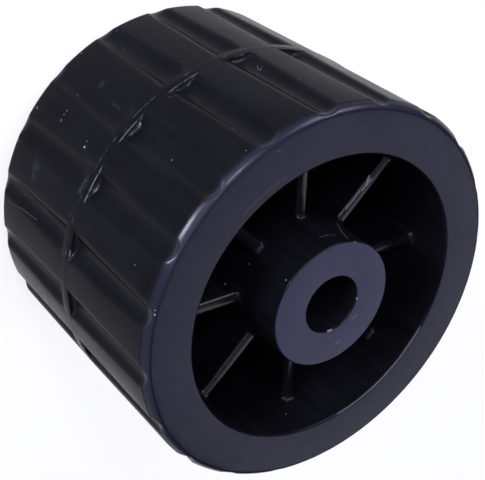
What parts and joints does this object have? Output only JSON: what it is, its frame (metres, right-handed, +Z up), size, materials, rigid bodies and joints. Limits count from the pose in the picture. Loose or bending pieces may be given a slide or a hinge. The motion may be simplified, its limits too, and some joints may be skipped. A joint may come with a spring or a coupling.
{
  "type": "double side roller",
  "caption": "Moulded boat trailer side roller: fluted tread split by a plain middle ring, recessed spoked ends and a plain through bore for an axle pin.",
  "frame": {"origin": "middle of the hub's lower end face, on the bore's axis, at the surface that the roller stands on", "axes": "+Z up along the bore, +X along one of the spokes"},
  "size_m": [0.115, 0.115, 0.0896],
  "materials": {
    "black_plastic": "satin moulded, with light scuffs"
  },
  "bodies": {
    "root": {"roller": "black_plastic"}
  },
  "joints": []
}
